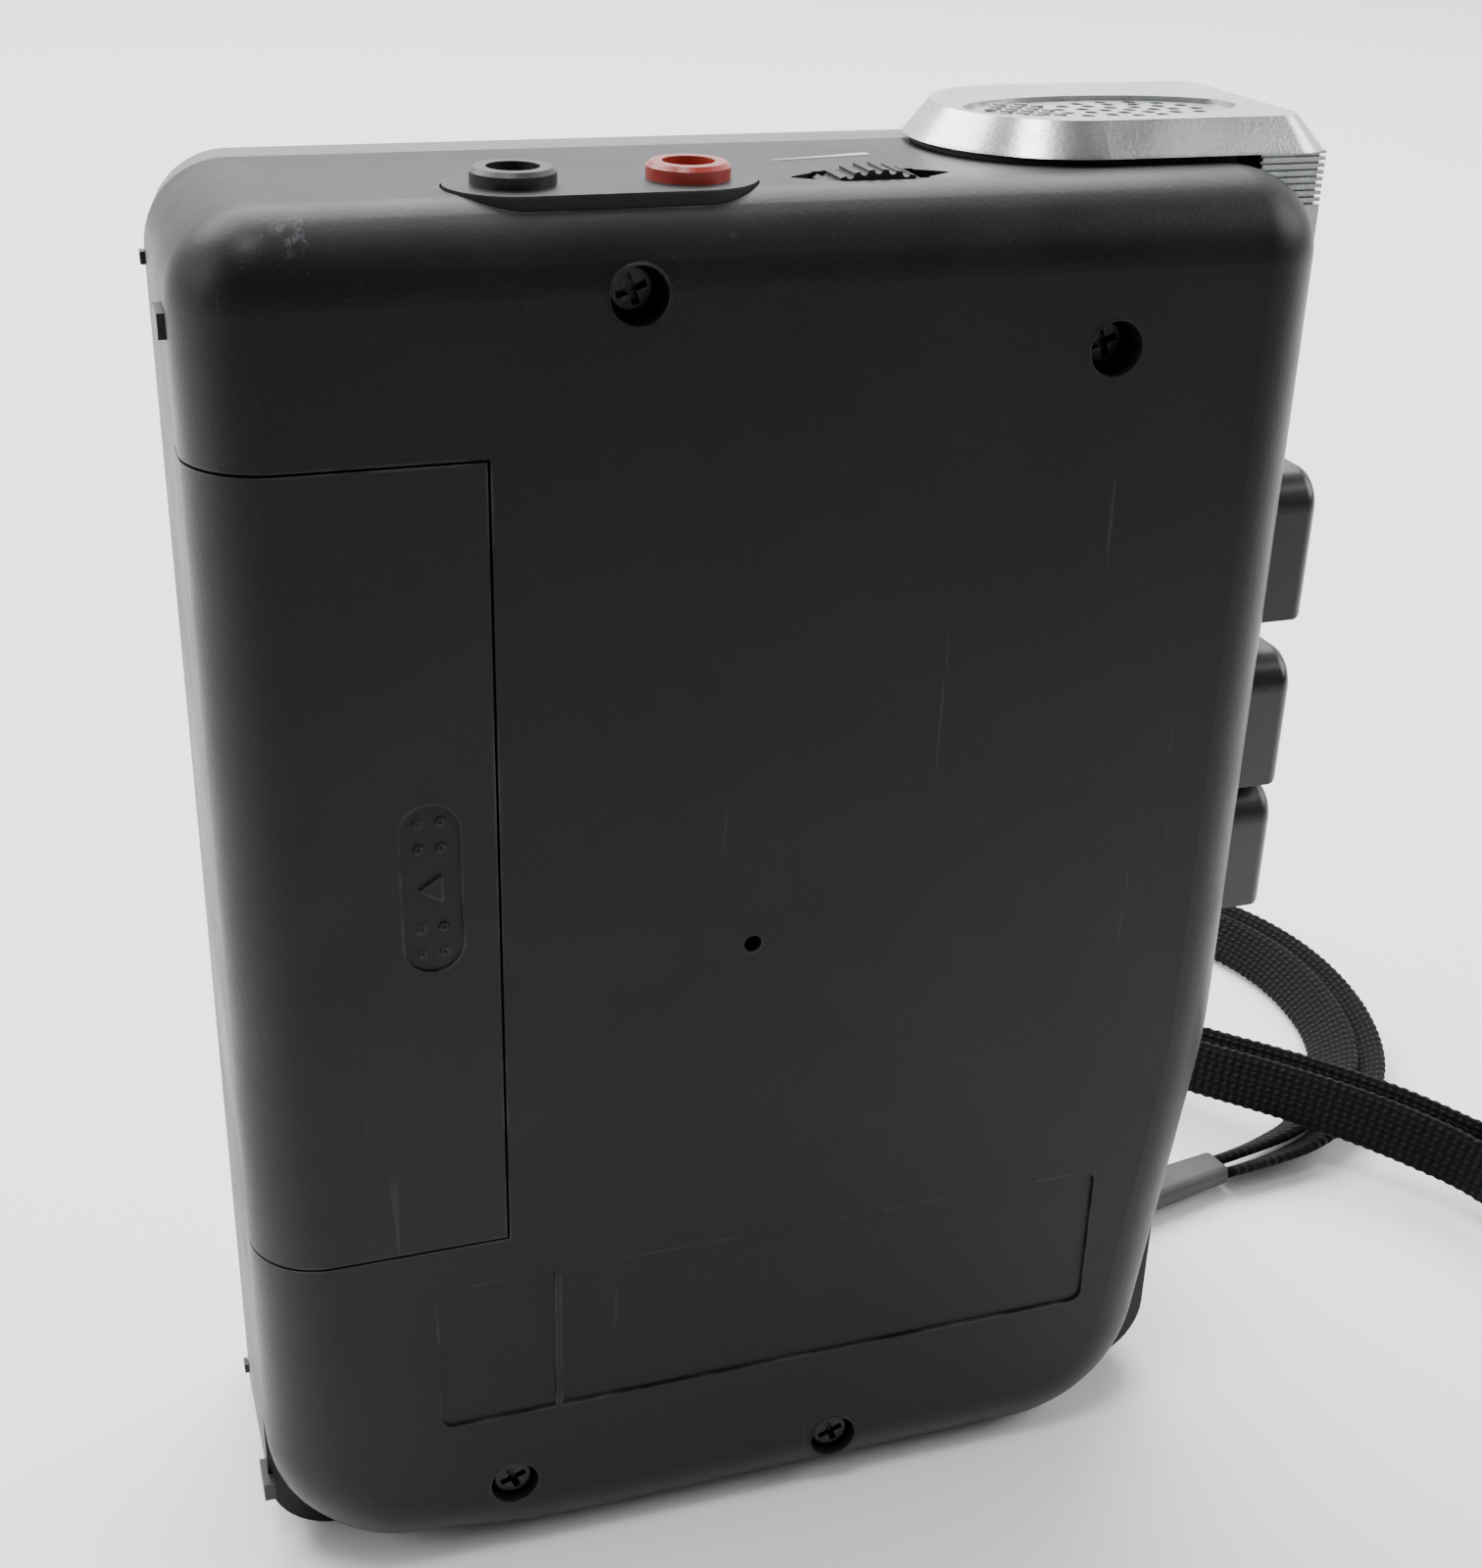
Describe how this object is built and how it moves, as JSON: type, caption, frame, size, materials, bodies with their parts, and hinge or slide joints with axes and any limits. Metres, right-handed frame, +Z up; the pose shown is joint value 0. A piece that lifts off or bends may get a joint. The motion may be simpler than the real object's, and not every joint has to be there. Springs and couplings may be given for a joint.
{
  "type": "hand-held dictation recorder",
  "caption": "Upright hand-held microcassette dictation recorder with side push keys, silver microphone cap, top jacks, sliding battery cover and a woven wrist strap.",
  "frame": {"origin": "centre of the case's underside", "axes": "+Z up the case, +Y out of its back, +X towards the battery side"},
  "size_m": [0.1444, 0.0862, 0.1149],
  "materials": {
    "graphite_case": "satin",
    "silver_paint": "satin",
    "black_plastic": "matte",
    "dark_plate": "satin",
    "black_key": "satin",
    "red_plastic": "glossy",
    "white_plastic": "matte",
    "cell_jacket": "glossy",
    "spring_steel": "polished",
    "steel": "brushed",
    "dark_steel": "satin",
    "polished_steel": "polished",
    "satin_aluminium": "satin",
    "brass": "satin",
    "black_rubber": "matte",
    "grey_rubber": "matte",
    "clear_window": "clear",
    "cone_paper": "matte",
    "board_resin": "matte",
    "black_webbing": "woven"
  },
  "bodies": {
    "case": {"rear_cabinet": "graphite_case", "middle_cabinet": "graphite_case", "front_frame": "silver_paint", "battery_bay": "black_plastic", "rear_cell": "cell_jacket", "front_cell": "cell_jacket", "contact_springs": "spring_steel", "contact_plates": "spring_steel", "jack_plate": "dark_plate", "ear_jack_collar": "black_plastic", "mic_jack_collar": "red_plastic", "ear_jack_body": "black_plastic", "mic_jack_body": "black_plastic", "volume_potentiometer": "steel", "mic_cover": "satin_aluminium", "mic_gasket": "black_rubber", "mic_capsule": "satin_aluminium", "key_guide": "steel", "key_springs": "spring_steel", "mechanism_plate": "steel", "mechanism_posts": "brass", "mechanism_screws": "steel", "capstan_bush": "brass", "motor": "steel", "drive_belt": "black_rubber", "speaker": "steel", "speaker_cone": "cone_paper", "circuit_board": "board_resin", "board_parts": "black_plastic", "speed_trimmer": "white_plastic", "record_lamp": "red_plastic", "case_screws": "dark_steel", "side_clips": "black_plastic", "frame_tabs": "black_plastic", "strap_pin": "dark_steel"},
    "battery_cover": {"battery_cover": "graphite_case"},
    "lid": {"cassette_lid": "silver_paint", "lid_window": "clear_window"},
    "volume_wheel": {"volume_wheel": "black_plastic"},
    "record_key": {"record_key": "black_key"},
    "play_key": {"play_key": "black_key"},
    "stop_key": {"stop_key": "black_key"},
    "flywheel": {"flywheel": "brass", "capstan": "polished_steel"},
    "motor_pulley": {"motor_pulley": "brass"},
    "supply_spindle": {"supply_spindle": "white_plastic"},
    "takeup_spindle": {"takeup_spindle": "white_plastic"},
    "head_carriage": {"head_slide": "steel", "pinch_arm": "steel", "record_play_head": "polished_steel", "erase_head": "white_plastic"},
    "pinch_roller": {"pinch_roller": "black_rubber"},
    "strap_anchor": {"strap_sleeve": "grey_rubber", "strap": "black_webbing"}
  },
  "joints": [
    {"name": "battery_cover_slide", "type": "slide", "parent": "case", "child": "battery_cover", "axis": [1, 0, 0], "range_m": [0, 0.006]},
    {"name": "lid_hinge", "type": "hinge", "parent": "case", "child": "lid", "pos_m": [0.0173, -0.0157, 0.0785], "axis": [0, 0, 1], "range_deg": [0, 100]},
    {"name": "volume_turn", "type": "hinge", "parent": "case", "child": "volume_wheel", "pos_m": [-0.0071, 0.009, 0.1046], "axis": [0, 1, 0], "range_deg": [0, 270]},
    {"name": "record_key_press", "type": "slide", "parent": "case", "child": "record_key", "axis": [1, 0, 0], "range_m": [0, 0.003], "stiffness_N_per_m": 200, "springref_m": -0.001},
    {"name": "play_key_press", "type": "slide", "parent": "case", "child": "play_key", "axis": [1, 0, 0], "range_m": [0, 0.003], "stiffness_N_per_m": 200, "springref_m": -0.001},
    {"name": "stop_key_press", "type": "slide", "parent": "case", "child": "stop_key", "axis": [1, 0, 0], "range_m": [0, 0.003], "stiffness_N_per_m": 200, "springref_m": -0.001},
    {"name": "flywheel_spin", "type": "hinge", "parent": "case", "child": "flywheel", "pos_m": [-0.0145, 0.003, 0.065], "axis": [0, 1, 0], "continuous": true},
    {"name": "motor_spin", "type": "hinge", "parent": "case", "child": "motor_pulley", "pos_m": [0.009, 0.003, 0.056], "axis": [0, 1, 0], "continuous": true},
    {"name": "supply_spin", "type": "hinge", "parent": "case", "child": "supply_spindle", "pos_m": [0, -0.004, 0.09], "axis": [0, 1, 0], "continuous": true},
    {"name": "takeup_spin", "type": "hinge", "parent": "case", "child": "takeup_spindle", "pos_m": [0, -0.004, 0.066], "axis": [0, 1, 0], "continuous": true},
    {"name": "head_slide_travel", "type": "slide", "parent": "case", "child": "head_carriage", "axis": [1, 0, 0], "range_m": [0, 0.0025]},
    {"name": "pinch_roller_spin", "type": "hinge", "parent": "head_carriage", "child": "pinch_roller", "pos_m": [-0.02135, -0.0075, 0.065], "axis": [0, 1, 0], "continuous": true},
    {"name": "sleeve_swivel", "type": "hinge", "parent": "case", "child": "strap_anchor", "pos_m": [-0.0394, -0.009, 0.0049], "axis": [0, 0, 1], "range_deg": [-8, 8]}
  ],
  "couplings": [
    {"joint": "head_slide_travel", "follows": "play_key_press", "ratio": 0.8333},
    {"joint": "motor_spin", "follows": "flywheel_spin", "ratio": 5.7}
  ]
}
